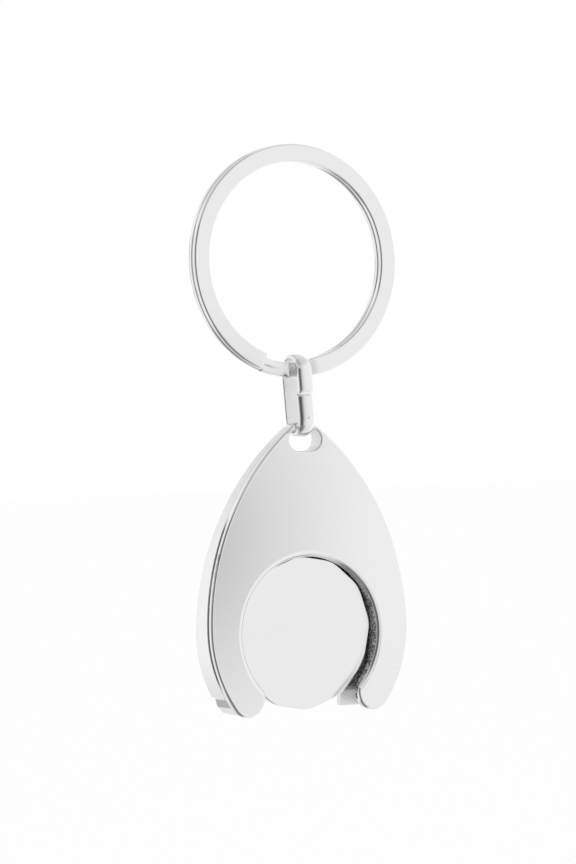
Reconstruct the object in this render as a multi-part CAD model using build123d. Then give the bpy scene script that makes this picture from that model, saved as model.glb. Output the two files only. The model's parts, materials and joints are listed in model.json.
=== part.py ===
from build123d import *
import math
import os

# Sizes are millimetres and angles are degrees.
# X runs across the plate, Y from the front to the back, and Z up.
# The origin is the point inside the top of the split ring that a hook carries.

# Split ring: one flat wire wound nearly twice round
ring_outer_diameter = 35.5
ring_wire_width = 2.8
ring_wire_thickness = 1.03
ring_wire_edge_radius = 0.35
ring_turn_clearance = 0.04
ring_front_end_angle = -21.5
ring_crossover_start_angle = 12.0
ring_crossover_level_angle = -19.0
ring_crossover_end_angle = -26.0
ring_back_end_angle = 15.5
ring_crossover_sections = 11
ring_crossover_recess = 0.55
ring_crossover_bulge = 0.15
ring_recess_ease_share = 0.33

# Connecting link: a half-round strip bent into a long loop, its ends butted together
link_strip_width = 2.5
link_strip_thickness = 0.75
link_strip_edge_thickness = 0.3
link_strip_edge_radius = 0.22
link_seam_gap = 0.1
link_twist_angle = -5.5
link_side_play = 0.86
link_corner_clearance = 0.07
link_pivot_distance = 6.64

# Trolley token: twelve flats with soft corners
token_across_flats = 23.0
token_side_count = 12
token_corner_radius = 5.3
token_thickness = 2.1
token_edge_radius = 0.2
token_turn_angle = 5.5

# Front plate: the polished teardrop with the round cut-out and two legs
plate_width = 34.7
plate_thickness = 1.2
plate_nose_above_token = 32.1
plate_legs_below_token = 12.3
plate_widest_above_token = 0.9
plate_nose_radius = 4.2
plate_leg_tip_radius = 2.9
plate_token_overlap = 0.14
plate_cutout_rim_radius = 0.95
plate_edge_radius = 0.5
plate_back_edge_radius = 0.15
plate_set_forward = 0.65

# Eyelet slot through the plate and the body
eyelet_width = 5.6
eyelet_height = 3.45
eyelet_bar_height = 1.05
eyelet_edge_radius = 0.25

# Holder body: the cast wedge behind the plate, with the token's channel
body_thickness_at_token = 5.35
body_wedge_angle = 4.4
body_side_draft_angle = 3.0
body_floor_thickness = 1.0
body_back_edge_radius = 0.5
channel_side_clearance = 0.18
channel_floor_clearance = 0.1
window_half_width = 7.9
window_mouth_flare = 0.9
window_mouth_height = 1.5
leg_facet_height = 3.0
leg_facet_step = 0.5
leg_end_recess = 0.45
leg_facet_middle_width_share = 0.07
leg_facet_middle_height_share = 0.54
leg_facet_bottom_width_share = 0.25

# Retaining magnet: a disc under the plate, just above the channel
magnet_diameter = 5.0
magnet_thickness = 1.6
magnet_clearance = 0.1
magnet_wall_to_channel = 0.7

# Every cut runs past the solid by this much
cut_overrun = 2.0

# Places worked out from the sizes above
ring_inner_radius = ring_outer_diameter / 2 - ring_wire_width
ring_centre_z = -ring_inner_radius
ring_turn_offset = (ring_wire_thickness + ring_turn_clearance) / 2

token_radius = token_across_flats / 2
token_corner_reach = (token_radius - token_corner_radius) / math.cos(math.pi / token_side_count)
token_outer_radius = token_corner_reach + token_corner_radius

wedge_slope = math.tan(math.radians(body_wedge_angle))
bar_above_token = plate_nose_above_token - eyelet_bar_height
eyelet_bar_thickness = body_thickness_at_token - wedge_slope * bar_above_token

ring_half_thickness = ring_turn_offset + ring_wire_thickness / 2
bar_half_thickness = eyelet_bar_thickness / 2
link_inner_radius = max(ring_half_thickness, bar_half_thickness) + link_side_play
link_twist = math.radians(abs(link_twist_angle))
link_flat_half_width = link_strip_width / 2 - link_strip_edge_radius
link_edge_reach = (link_inner_radius + link_strip_edge_radius) * math.cos(link_twist)
link_edge_reach -= link_flat_half_width * math.sin(link_twist) + link_strip_edge_radius
corner_reach = link_edge_reach - link_corner_clearance


def ease(share):
    """Return a smooth step from 0 to 1 for a share that is kept between 0 and 1."""
    kept = min(max(share, 0), 1)
    return kept * kept * (3 - 2 * kept)


def crossover_share(angle, end_angle):
    """Return how far an angle lies on the way from the crossover's start to an end."""
    return (angle - ring_crossover_start_angle) / (end_angle - ring_crossover_start_angle)


def recess_share(angle):
    """Return how much of the crossover's recess is reached at an angle."""
    share = crossover_share(angle, ring_crossover_end_angle)
    return ease(min(share, 1 - share) / ring_recess_ease_share)


def seat_depth(half_thickness, edge_radius):
    """Return how far from its pivot the link carries a bar, so that the bar's corners clear every swing."""
    return edge_radius + math.sqrt((corner_reach - edge_radius) ** 2 - (half_thickness - edge_radius) ** 2)


link_half_span = link_strip_width / 2 + corner_reach * math.tan(link_twist)
link_half_angle = math.degrees(math.asin(link_half_span / ring_inner_radius))
link_edge_recess = ring_crossover_recess * recess_share(link_half_angle)
link_edge_radius = ring_inner_radius + link_edge_recess
ring_bore_rise = link_edge_radius - math.sqrt(link_edge_radius**2 - link_half_span**2)
link_ring_seat = link_edge_recess + seat_depth(ring_half_thickness, ring_wire_edge_radius) - ring_bore_rise
link_top_pivot_z = ring_centre_z - ring_inner_radius - link_ring_seat
link_bottom_pivot_z = link_top_pivot_z - link_pivot_distance
link_bottom_pivot_y = -plate_set_forward
link_lean_angle = math.degrees(math.atan2(plate_set_forward, link_pivot_distance))
link_centre_distance = math.hypot(plate_set_forward, link_pivot_distance)

eyelet_top_z = link_bottom_pivot_z - seat_depth(bar_half_thickness, eyelet_edge_radius)
eyelet_centre_z = eyelet_top_z - eyelet_height / 2
plate_top_z = eyelet_top_z + eyelet_bar_height
token_centre_z = plate_top_z - plate_nose_above_token
plate_bottom_z = token_centre_z - plate_legs_below_token
plate_widest_z = token_centre_z + plate_widest_above_token
cutout_radius = token_outer_radius - plate_token_overlap
channel_radius = token_outer_radius + channel_side_clearance

plate_front_y = link_bottom_pivot_y - bar_half_thickness
plate_back_y = plate_front_y + plate_thickness
body_back_y_at_token = plate_front_y + body_thickness_at_token
floor_y_at_token = body_back_y_at_token - body_floor_thickness
token_centre_y = floor_y_at_token - channel_floor_clearance - token_thickness / 2


def front_plane(y):
    """Return the upright plane at depth y that faces the front."""
    return Plane(origin=(0, y, 0), x_dir=(1, 0, 0), z_dir=(0, -1, 0))


def slab(face, front_y, back_y):
    """Give a face drawn as seen from the front its thickness between two depths."""
    return extrude(front_plane(back_y) * face, amount=back_y - front_y)


def wedge_plane(y_at_token):
    """Return the plane that leans back down the wedge and crosses the token's centre line at a depth."""
    lean = math.radians(body_wedge_angle)
    return Plane(origin=(0, y_at_token, token_centre_z), x_dir=(1, 0, 0), z_dir=(0, math.cos(lean), math.sin(lean)))


def in_front_of(solid, plane):
    """Keep the part of a solid that lies in front of a wedge plane."""
    return split(solid, bisect_by=plane, keep=Keep.BOTTOM)


def point_towards(centre, other, distance):
    """Return the point at a distance from a centre, in the direction of another point."""
    dx = other[0] - centre[0]
    dz = other[1] - centre[1]
    scale = distance / math.hypot(dx, dz)
    return (centre[0] + dx * scale, centre[1] + dz * scale)


def tangent_radius(across, along, small_radius):
    """Return the radius of the arc that leaves the widest point and wraps a smaller circle inside it."""
    return (across**2 + along**2 - small_radius**2) / (2 * (across - small_radius))


def mirrored(point):
    """Return the same point on the other side of the middle line."""
    return (-point[0], point[1])


def outline_points():
    """Work out the right half of the plate's outline as tangent arcs, each with its middle point."""
    half_width = plate_width / 2
    widest = (half_width, plate_widest_z)
    nose_centre = (0, plate_top_z - plate_nose_radius)
    tip_reach = cutout_radius + plate_leg_tip_radius
    tip_z = plate_bottom_z + plate_leg_tip_radius
    tip_centre = (math.sqrt(tip_reach**2 - (token_centre_z - tip_z) ** 2), tip_z)
    flank_radius = tangent_radius(half_width, nose_centre[1] - plate_widest_z, plate_nose_radius)
    flank_centre = (half_width - flank_radius, plate_widest_z)
    lower_radius = tangent_radius(half_width - tip_centre[0], tip_z - plate_widest_z, plate_leg_tip_radius)
    lower_centre = (half_width - lower_radius, plate_widest_z)
    cutout_centre = (0, token_centre_z)
    shoulder = point_towards(flank_centre, nose_centre, flank_radius)
    flank_aim = ((shoulder[0] + widest[0]) / 2, (shoulder[1] + widest[1]) / 2)
    leg_outer = point_towards(lower_centre, tip_centre, lower_radius)
    lower_aim = ((leg_outer[0] + widest[0]) / 2, (leg_outer[1] + widest[1]) / 2)
    return {
        "top": (0, plate_top_z),
        "shoulder": shoulder,
        "flank_middle": point_towards(flank_centre, flank_aim, flank_radius),
        "widest": widest,
        "lower_middle": point_towards(lower_centre, lower_aim, lower_radius),
        "leg_outer": leg_outer,
        "leg_bottom": (tip_centre[0], plate_bottom_z),
        "leg_inner": point_towards(tip_centre, cutout_centre, plate_leg_tip_radius),
        "cutout_top": (0, token_centre_z + cutout_radius),
        "lower_centre": lower_centre,
        "lower_radius": lower_radius,
    }


def upper_edges(points, side):
    """Draw one side of the outline from the shoulder down to the widest point."""
    return ThreePointArc(side(points["shoulder"]), side(points["flank_middle"]), side(points["widest"]))


def plate_face():
    """Draw the front plate: nose, flanks, legs with round tips and the open cut-out."""
    points = outline_points()
    edges = [ThreePointArc(mirrored(points["shoulder"]), points["top"], points["shoulder"])]
    for side in (tuple, mirrored):
        edges.append(upper_edges(points, side))
        edges.append(ThreePointArc(side(points["widest"]), side(points["lower_middle"]), side(points["leg_outer"])))
        edges.append(ThreePointArc(side(points["leg_outer"]), side(points["leg_bottom"]), side(points["leg_inner"])))
    edges.append(ThreePointArc(mirrored(points["leg_inner"]), points["cutout_top"], points["leg_inner"]))
    return make_face(edges)


def eyelet_face():
    """Draw the slot that the connecting link passes through."""
    return Pos(0, eyelet_centre_z) * SlotOverall(eyelet_width, eyelet_height)


def body_leg_points(points):
    """Work out the right leg end of the body: a small step, then flats down to the bottom edge."""
    centre_x, centre_z = points["lower_centre"]
    step_z = plate_bottom_z + leg_facet_height
    outline_x = centre_x + math.sqrt(points["lower_radius"] ** 2 - (step_z - centre_z) ** 2)
    step_x = outline_x - leg_facet_step
    bottom_z = plate_bottom_z + leg_end_recess
    leg_width = step_x - window_half_width
    drop = step_z - bottom_z
    return [
        (outline_x, step_z),
        (step_x, step_z),
        (step_x - leg_width * leg_facet_middle_width_share, step_z - drop * leg_facet_middle_height_share),
        (step_x - leg_width * leg_facet_bottom_width_share, bottom_z),
    ]


def body_face():
    """Draw the body's outline: the plate's outline down to the leg ends, then flats and a straight bottom."""
    points = outline_points()
    leg = body_leg_points(points)
    centre = points["lower_centre"]
    aim = ((leg[0][0] + points["widest"][0]) / 2, (leg[0][1] + points["widest"][1]) / 2)
    lower_middle = point_towards(centre, aim, points["lower_radius"])
    edges = [ThreePointArc(mirrored(points["shoulder"]), points["top"], points["shoulder"])]
    for side in (tuple, mirrored):
        edges.append(upper_edges(points, side))
        edges.append(ThreePointArc(side(points["widest"]), side(lower_middle), side(leg[0])))
        edges.append(Polyline(*[side(point) for point in leg]))
    edges.append(Line(leg[-1], mirrored(leg[-1])))
    return make_face(edges)


def channel_face():
    """Draw the token's channel: a round end above the token and straight sides out of the bottom."""
    below = plate_legs_below_token + cut_overrun
    straight = Pos(0, token_centre_z - below / 2) * Rectangle(2 * channel_radius, below)
    return Pos(0, token_centre_z) * Circle(channel_radius) + straight


def window_face():
    """Draw the thumb window in the body's back, round above and flared at its mouth."""
    bottom_z = plate_bottom_z + leg_end_recess
    mouth_top_z = bottom_z + window_mouth_height
    end_z = plate_bottom_z - cut_overrun
    straight_height = token_centre_z - end_z
    straight = Pos(0, token_centre_z - straight_height / 2) * Rectangle(2 * window_half_width, straight_height)
    flared = window_half_width + window_mouth_flare
    mouth = Polygon(
        (window_half_width, mouth_top_z),
        (flared, bottom_z),
        (flared, end_z),
        (-flared, end_z),
        (-flared, bottom_z),
        (-window_half_width, mouth_top_z),
        align=None,
    )
    return Pos(0, token_centre_z) * Circle(window_half_width) + straight + mouth


def wire_section(angle, depth, pressed_share=0):
    """Return the ring wire's section at an angle from the bottom of the ring, a depth and a share of the recess."""
    turn = math.radians(angle)
    inner = ring_inner_radius + ring_crossover_recess * pressed_share
    outer = ring_outer_diameter / 2 + ring_crossover_bulge * pressed_share
    middle = (inner + outer) / 2
    outward = (math.sin(turn), 0, -math.cos(turn))
    along = (math.cos(turn), 0, math.sin(turn))
    origin = (outward[0] * middle, depth, ring_centre_z + outward[2] * middle)
    plane = Plane(origin=origin, x_dir=outward, z_dir=along)
    return plane * RectangleRounded(outer - inner, ring_wire_thickness, ring_wire_edge_radius)


def ring_turn(start_angle, end_angle, depth):
    """Wind one turn of the ring's wire clockwise, as seen from the front, from one angle to another."""
    axis = Axis((0, 0, ring_centre_z), (0, 1, 0))
    sweep_angle = start_angle - end_angle
    return revolve(wire_section(start_angle, depth), axis, revolution_arc=sweep_angle)


def ring_crossover():
    """Carry the wire from the front turn back to the rear turn, pressed a little outwards on the way."""
    sections = []
    for index in range(ring_crossover_sections):
        share = index / (ring_crossover_sections - 1)
        angle = ring_crossover_start_angle + (ring_crossover_end_angle - ring_crossover_start_angle) * share
        depth = -ring_turn_offset + 2 * ring_turn_offset * ease(crossover_share(angle, ring_crossover_level_angle))
        sections.append(wire_section(angle, depth, recess_share(angle)))
    return loft(sections)


def make_split_ring():
    """Make the split ring: a front turn, the crossover and a back turn of one wire."""
    full_turn = 360
    front = ring_turn(ring_front_end_angle, ring_crossover_start_angle - full_turn, -ring_turn_offset)
    back = ring_turn(ring_crossover_end_angle, ring_back_end_angle - full_turn, ring_turn_offset)
    return front + ring_crossover() + back


def link_section():
    """Draw the link's strip: flat inside, round outside, with thin rounded edges."""
    half = link_strip_width / 2
    inner = [(-half, link_strip_edge_thickness), (-half, 0), (half, 0), (half, link_strip_edge_thickness)]
    crown = ThreePointArc(inner[-1], (0, link_strip_thickness), inner[0])
    section = make_face([Polyline(*inner), crown])
    return fillet(section.vertices().sort_by(Axis.Y)[:2], link_strip_edge_radius)


def make_connecting_link():
    """Bend the strip round both pivots from one side of the seam to the other, then twist and lean it."""
    reach = link_centre_distance / 2
    gap = link_seam_gap / 2
    radius = link_inner_radius
    turns = [
        Line((-radius, gap), (-radius, reach)),
        ThreePointArc((-radius, reach), (0, reach + radius), (radius, reach)),
        Line((radius, reach), (radius, -reach)),
        ThreePointArc((radius, -reach), (0, -reach - radius), (-radius, -reach)),
        Line((-radius, -reach), (-radius, -gap)),
    ]
    side_plane = Plane(origin=(0, 0, 0), x_dir=(0, 1, 0), z_dir=(1, 0, 0))
    path = side_plane * Wire(turns)
    start = Plane(origin=(0, -radius, gap), x_dir=(1, 0, 0), z_dir=(0, 0, 1))
    section = start * (Rot(Z=180) * link_section())
    loop = sweep(section, path=path)
    middle_z = (link_top_pivot_z + link_bottom_pivot_z) / 2
    return Pos(0, link_bottom_pivot_y / 2, middle_z) * Rot(X=-link_lean_angle) * Rot(Z=link_twist_angle) * loop


def front_edges(solid):
    """Find the edges of a slab's front face."""
    return solid.edges().group_by(Axis.Y)[0]


def back_edges(solid):
    """Find the edges of a slab's back face."""
    return solid.edges().group_by(Axis.Y)[-1]


def cutout_rim_cutter():
    """Make the round cutter that gives the cut-out its broad soft front rim."""
    radius = plate_cutout_rim_radius
    outer = cutout_radius + radius
    inner_y = plate_front_y + radius
    front_y = plate_front_y - cut_overrun
    rounding = RadiusArc((outer, plate_front_y), (cutout_radius, inner_y), radius)
    sides = Polyline((cutout_radius, inner_y), (0, inner_y), (0, front_y), (outer, front_y), (outer, plate_front_y))
    profile = Pos(0, 0, token_centre_z) * make_face([rounding, sides])
    return revolve(profile, Axis((0, 0, token_centre_z), (0, 1, 0)))


def make_front_plate():
    """Make the front plate with softly rounded rims, and its eyelet."""
    blank = slab(plate_face(), plate_front_y, plate_back_y)
    blank = fillet(front_edges(blank), plate_edge_radius)
    blank = fillet(back_edges(blank), plate_back_edge_radius)
    slot = slab(eyelet_face(), plate_front_y - cut_overrun, plate_back_y + cut_overrun)
    plate = blank - slot - cutout_rim_cutter()
    rim = [edge for edge in front_edges(plate) if is_eyelet_edge(edge)]
    return fillet(rim, eyelet_edge_radius)


def is_eyelet_edge(edge):
    """Say whether an edge belongs to the eyelet's rim."""
    centre = edge.bounding_box().center()
    near = abs(centre.Z - eyelet_centre_z) <= eyelet_height / 2 + eyelet_edge_radius
    return near and abs(centre.X) <= eyelet_width / 2


def magnet_centre_z():
    """Return the height of the magnet, just above the end of the channel."""
    return token_centre_z + channel_radius + magnet_wall_to_channel + magnet_diameter / 2


def magnet_disc(radius, thickness):
    """Make a disc that lies against the back of the front plate, where the magnet sits."""
    face = Pos(0, magnet_centre_z()) * Circle(radius)
    return slab(face, plate_back_y, plate_back_y + thickness)


def make_holder_body():
    """Make the cast body: wedge, rounded back rim, channel, thumb window, eyelet and magnet pocket."""
    deepest_y = body_back_y_at_token + plate_width
    back_plane = wedge_plane(body_back_y_at_token)
    outline = front_plane(plate_back_y) * body_face()
    drafted = extrude(outline, amount=plate_back_y - deepest_y, taper=body_side_draft_angle)
    blank = in_front_of(drafted, back_plane)
    back_face = blank.faces().sort_by(Axis.Y)[-1]
    blank = fillet(back_face.outer_wire().edges(), body_back_edge_radius)
    channel = slab(channel_face(), plate_back_y - cut_overrun, deepest_y)
    channel = in_front_of(channel, wedge_plane(floor_y_at_token))
    window = slab(window_face(), plate_back_y - cut_overrun, deepest_y)
    slot = slab(eyelet_face(), plate_back_y - cut_overrun, deepest_y)
    pocket = magnet_disc(magnet_diameter / 2 + magnet_clearance, magnet_thickness + magnet_clearance)
    body = blank - channel - window - slot - pocket
    rim = [edge for edge in body.edges() if is_back_eyelet_edge(edge)]
    return fillet(rim, eyelet_edge_radius)


def is_back_eyelet_edge(edge):
    """Say whether an edge belongs to the eyelet's rim on the back of the body."""
    return is_eyelet_edge(edge) and edge.bounding_box().min.Y > plate_back_y + body_floor_thickness / 2


def make_magnet():
    """Make the disc magnet in its pocket."""
    return magnet_disc(magnet_diameter / 2, magnet_thickness)


def make_token():
    """Make the token: a twelve-sided disc with soft corners and edges, lying along the wedge."""
    half_flat_angle = 180 / token_side_count
    bottom_corner_turn = token_turn_angle - 90
    circumradius = token_radius / math.cos(math.radians(half_flat_angle))
    polygon = RegularPolygon(circumradius, token_side_count, rotation=bottom_corner_turn)
    outline = fillet(polygon.vertices(), token_corner_radius)
    half = token_thickness / 2
    disc = slab(outline, -half, half)
    disc = fillet(front_edges(disc) + back_edges(disc), token_edge_radius)
    return Pos(0, token_centre_y, token_centre_z) * Rot(X=body_wedge_angle) * disc


def main():
    """Build each piece and write it to its own file."""
    os.makedirs("parts", exist_ok=True)
    pieces = {
        "split_ring": make_split_ring(),
        "connecting_link": make_connecting_link(),
        "front_plate": make_front_plate(),
        "holder_body": make_holder_body(),
        "retaining_magnet": make_magnet(),
        "trolley_token": make_token(),
    }
    for name, piece in pieces.items():
        export_step(piece, f"parts/{name}.step")
        box = piece.bounding_box()
        print(name, "volume", round(piece.volume, 2), "box", box.min, box.max)
    print("link pivots", link_top_pivot_z, link_bottom_pivot_y, link_bottom_pivot_z)
    print("token centre", token_centre_y, token_centre_z, "plate front", plate_front_y)


main()
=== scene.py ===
"""Dress the trolley coin keyring: camera, soft studio, chrome finishes and two swept pieces.

The swept ring and link stand for their solids with smoother surfaces. Lengths are metres in the
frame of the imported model: X across the plate, Y from front to back, Z up.
"""

import json
import logging
import math
from dataclasses import dataclass
from enum import Enum

import bpy
from mathutils import Matrix, Vector

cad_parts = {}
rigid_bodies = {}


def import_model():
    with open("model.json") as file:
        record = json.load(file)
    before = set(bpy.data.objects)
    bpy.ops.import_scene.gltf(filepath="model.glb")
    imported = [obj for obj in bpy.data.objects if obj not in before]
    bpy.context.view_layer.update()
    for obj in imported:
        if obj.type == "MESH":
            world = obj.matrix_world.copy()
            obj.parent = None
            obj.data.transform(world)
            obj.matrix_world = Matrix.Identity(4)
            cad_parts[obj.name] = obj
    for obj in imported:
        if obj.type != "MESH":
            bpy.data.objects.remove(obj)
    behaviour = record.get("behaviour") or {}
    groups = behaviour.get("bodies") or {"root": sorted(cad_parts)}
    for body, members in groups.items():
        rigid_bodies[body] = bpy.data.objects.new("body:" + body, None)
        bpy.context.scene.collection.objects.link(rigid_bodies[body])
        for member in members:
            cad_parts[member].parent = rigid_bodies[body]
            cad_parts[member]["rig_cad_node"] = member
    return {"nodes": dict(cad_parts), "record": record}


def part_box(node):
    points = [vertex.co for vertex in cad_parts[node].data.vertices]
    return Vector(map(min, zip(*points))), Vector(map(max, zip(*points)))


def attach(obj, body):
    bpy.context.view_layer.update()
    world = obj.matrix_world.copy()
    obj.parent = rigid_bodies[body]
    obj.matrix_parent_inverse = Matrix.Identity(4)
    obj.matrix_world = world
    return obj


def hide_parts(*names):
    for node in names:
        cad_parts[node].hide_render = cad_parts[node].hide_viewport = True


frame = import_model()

Pair = tuple[float, float]
Triple = tuple[float, float, float]

LOG = logging.getLogger("keyring")

# Sizes of the solids that the finishes and the swept pieces follow
WIRE_HALF_WIDTH = 0.0014
WIRE_HALF_THICKNESS = 0.000515
WIRE_CORNER = (0.0004, 0.00049)
STRIP_HALF_WIDTH = 0.00125
STRIP_THICKNESS = 0.00075
STRIP_CORNER = (0.00022, 0.0002)
CHANNEL_PLAY = 0.0004
LEG_SIDE_PLAY = 0.0005
LEG_FLATS = 0.00296
TOKEN_TO_FLOOR = 0.00115
TOKEN_RIM = 0.0015
WINDOW_RADIUS = 0.00795
EYELET_HALF_WIDTH = 0.00282
EYELET_TOP = -0.04048
EYELET_BOTTOM = -0.04398

# The tent's light by the angle round it from the front, in degrees to the right
TENT_LIGHT = (
    (-180.0, 0.78),
    (-168.0, 0.84),
    (-157.0, 0.97),
    (-140.0, 0.98),
    (-110.0, 1.0),
    (-90.0, 0.88),
    (-76.0, 0.6),
    (-60.0, 0.42),
    (-45.0, 0.2),
    (-36.0, 0.1),
    (-25.0, 0.1),
    (-16.0, 0.28),
    (-10.0, 0.52),
    (-4.0, 0.7),
    (0.0, 0.754),
    (10.0, 0.83),
    (20.0, 0.9),
    (30.0, 0.915),
    (45.0, 0.92),
    (60.0, 0.94),
    (72.0, 0.96),
    (90.0, 1.04),
    (120.0, 1.12),
    (157.0, 1.0),
    (168.0, 0.84),
    (180.0, 0.78),
)


class Body(Enum):
    """The moving bodies of the keyring that swept pieces ride on."""

    RING = "ring"
    LINK = "link"


class Node(Enum):
    """The solids of the keyring."""

    SPLIT_RING = "split_ring"
    CONNECTING_LINK = "connecting_link"
    FRONT_PLATE = "front_plate"
    HOLDER_BODY = "holder_body"
    RETAINING_MAGNET = "retaining_magnet"
    TROLLEY_TOKEN = "trolley_token"


class Slot(Enum):
    """The material slots of the record for the swept pieces; nothing here assigns them."""

    RING = "ring_chrome"
    LINK = "link_chrome"


@dataclass(frozen=True)
class Value:
    """One output of a node tree, on which expressions add Math nodes.

    Args:
        tree: the writer of the tree that the output belongs to.
        socket: the output that this value stands for.
    """

    tree: "NodeTree"
    socket: bpy.types.NodeSocket

    def _math(self, operation: str, *others: "Value | float") -> "Value":
        """Add a Math node on this value and return its result."""
        return self.tree.math(operation, self, *others)

    def __add__(self, other: "Value | float") -> "Value":
        """Return the sum."""
        return self._math("ADD", other)

    __radd__ = __add__

    def __sub__(self, other: "Value | float") -> "Value":
        """Return the difference."""
        return self._math("SUBTRACT", other)

    def __rsub__(self, other: "Value | float") -> "Value":
        """Return the difference, the other way round."""
        return self.tree.math("SUBTRACT", other, self)

    def __mul__(self, other: "Value | float") -> "Value":
        """Return the product."""
        return self._math("MULTIPLY", other)

    __rmul__ = __mul__

    def __truediv__(self, other: "Value | float") -> "Value":
        """Return the quotient."""
        return self._math("DIVIDE", other)

    def absolute(self) -> "Value":
        """Return the value without its sign."""
        return self._math("ABSOLUTE")

    def largest(self, other: "Value | float") -> "Value":
        """Return the larger of two values."""
        return self._math("MAXIMUM", other)

    def smallest(self, other: "Value | float") -> "Value":
        """Return the smaller of two values."""
        return self._math("MINIMUM", other)

    def ease(self, low: float, high: float) -> "Value":
        """Return a smooth rise, or a fall where low is above high.

        Args:
            low: where the result is 0.
            high: where the result is 1.

        Returns:
            The share, from 0 to 1.
        """
        start, end = min(low, high), max(low, high)
        to_min, to_max = (0.0, 1.0) if low < high else (1.0, 0.0)
        return self.tree.node(
            "ShaderNodeMapRange",
            {"interpolation_type": "SMOOTHSTEP", "clamp": True},
            {"Value": self, "From Min": start, "From Max": end, "To Min": to_min, "To Max": to_max},
        )

    def ease_past(self, base: float, span: Pair) -> "Value":
        """Return a smooth rise over a span that is counted from a base."""
        return self.ease(base + span[0], base + span[1])

    def bell(self, centre: float, half_width: float) -> "Value":
        """Return a smooth bump of height 1 that falls to 0 at half_width from the centre."""
        return (self - centre).absolute().ease(half_width, 0.0)


class NodeTree:
    """A small writer of nodes that materials, the world and the swept pieces share."""

    def __init__(self, tree: bpy.types.NodeTree) -> None:
        """Start an empty tree."""
        self.tree = tree
        tree.nodes.clear()

    def node(
        self,
        kind: str,
        settings: dict | None = None,
        inputs: dict | None = None,
        output: int | str = 0,
    ) -> Value:
        """Add one node of any type.

        Args:
            kind: the node's type name.
            settings: properties that are set first; "stops" fills a ramp with (place, grey) pairs.
            inputs: values or links by socket name or number.
            output: the name or number of the output that is wanted.

        Returns:
            The wanted output.
        """
        made = self.tree.nodes.new(kind)
        for name, value in (settings or {}).items():
            if name == "stops":
                self._fill_ramp(made.color_ramp, value)
            else:
                setattr(made, name, value)
        for name, value in (inputs or {}).items():
            socket = made.inputs[name]
            if isinstance(value, Value):
                self.tree.links.new(value.socket, socket)
            else:
                socket.default_value = value
        return Value(self, made.outputs[output]) if len(made.outputs) else Value(self, None)

    @staticmethod
    def _fill_ramp(ramp: bpy.types.ColorRamp, stops: list[Pair]) -> None:
        """Fill a colour ramp with grey stops.

        Args:
            ramp: the ramp to fill.
            stops: the place and the grey of each stop, in order.
        """
        while len(ramp.elements) > 1:
            ramp.elements.remove(ramp.elements[-1])
        for index, (place, grey) in enumerate(stops):
            stop = ramp.elements[0] if index == 0 else ramp.elements.new(place)
            stop.position = place
            stop.color = (grey, grey, grey, 1.0)

    def math(self, operation: str, *values: Value | float) -> Value:
        """Add a Math node on values or numbers, in order."""
        return self.node("ShaderNodeMath", {"operation": operation}, dict(enumerate(values)))

    def length(self, across: Value, up: Value) -> Value:
        """Return the length of a flat vector from its two parts."""
        return self.math("SQRT", across * across + up * up)

    def vector(self, operation: str, *vectors: Value) -> Value:
        """Add a Vector Math node on vectors, in order."""
        settings = {"operation": operation}
        return self.node("ShaderNodeVectorMath", settings, dict(enumerate(vectors)))

    def split(self, vector: Value) -> tuple[Value, Value, Value]:
        """Return a vector's three parts.

        Args:
            vector: the vector to take apart.

        Returns:
            Its X, Y and Z.
        """
        parts = self.tree.nodes.new("ShaderNodeSeparateXYZ")
        self.tree.links.new(vector.socket, parts.inputs[0])
        return tuple(Value(self, part) for part in parts.outputs)

    def join(self, x: Value | float, y: Value | float, z: Value | float) -> Value:
        """Return a vector of three parts."""
        return self.node("ShaderNodeCombineXYZ", inputs={0: x, 1: y, 2: z})


class ShaderTree(NodeTree):
    """The nodes of one material or of the world."""

    def place(self) -> tuple[Value, Value, Value]:
        """Return the shaded point's X, Y and Z in the object's own space, in metres."""
        return self.split(self.node("ShaderNodeTexCoord", output="Object"))

    def noise(self, point: Value, scale: float, detail: float) -> Value:
        """Return a noise with so many grains per metre."""
        return self.node(
            "ShaderNodeTexNoise", inputs={"Vector": point, "Scale": scale, "Detail": detail}
        )

    def mix_colour(self, share: Value, first: Triple | Value, second: Triple | Value) -> Value:
        """Return a colour between two colours.

        Args:
            share: how much of the second colour there is.
            first: the colour where the share is 0.
            second: the colour where it is 1.

        Returns:
            The colour.
        """
        parts = ((*part, 1.0) if isinstance(part, tuple) else part for part in (first, second))
        inputs = dict(zip((0, 6, 7), (share, *parts)))
        return self.node("ShaderNodeMix", {"data_type": "RGBA"}, inputs, output=2)


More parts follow.
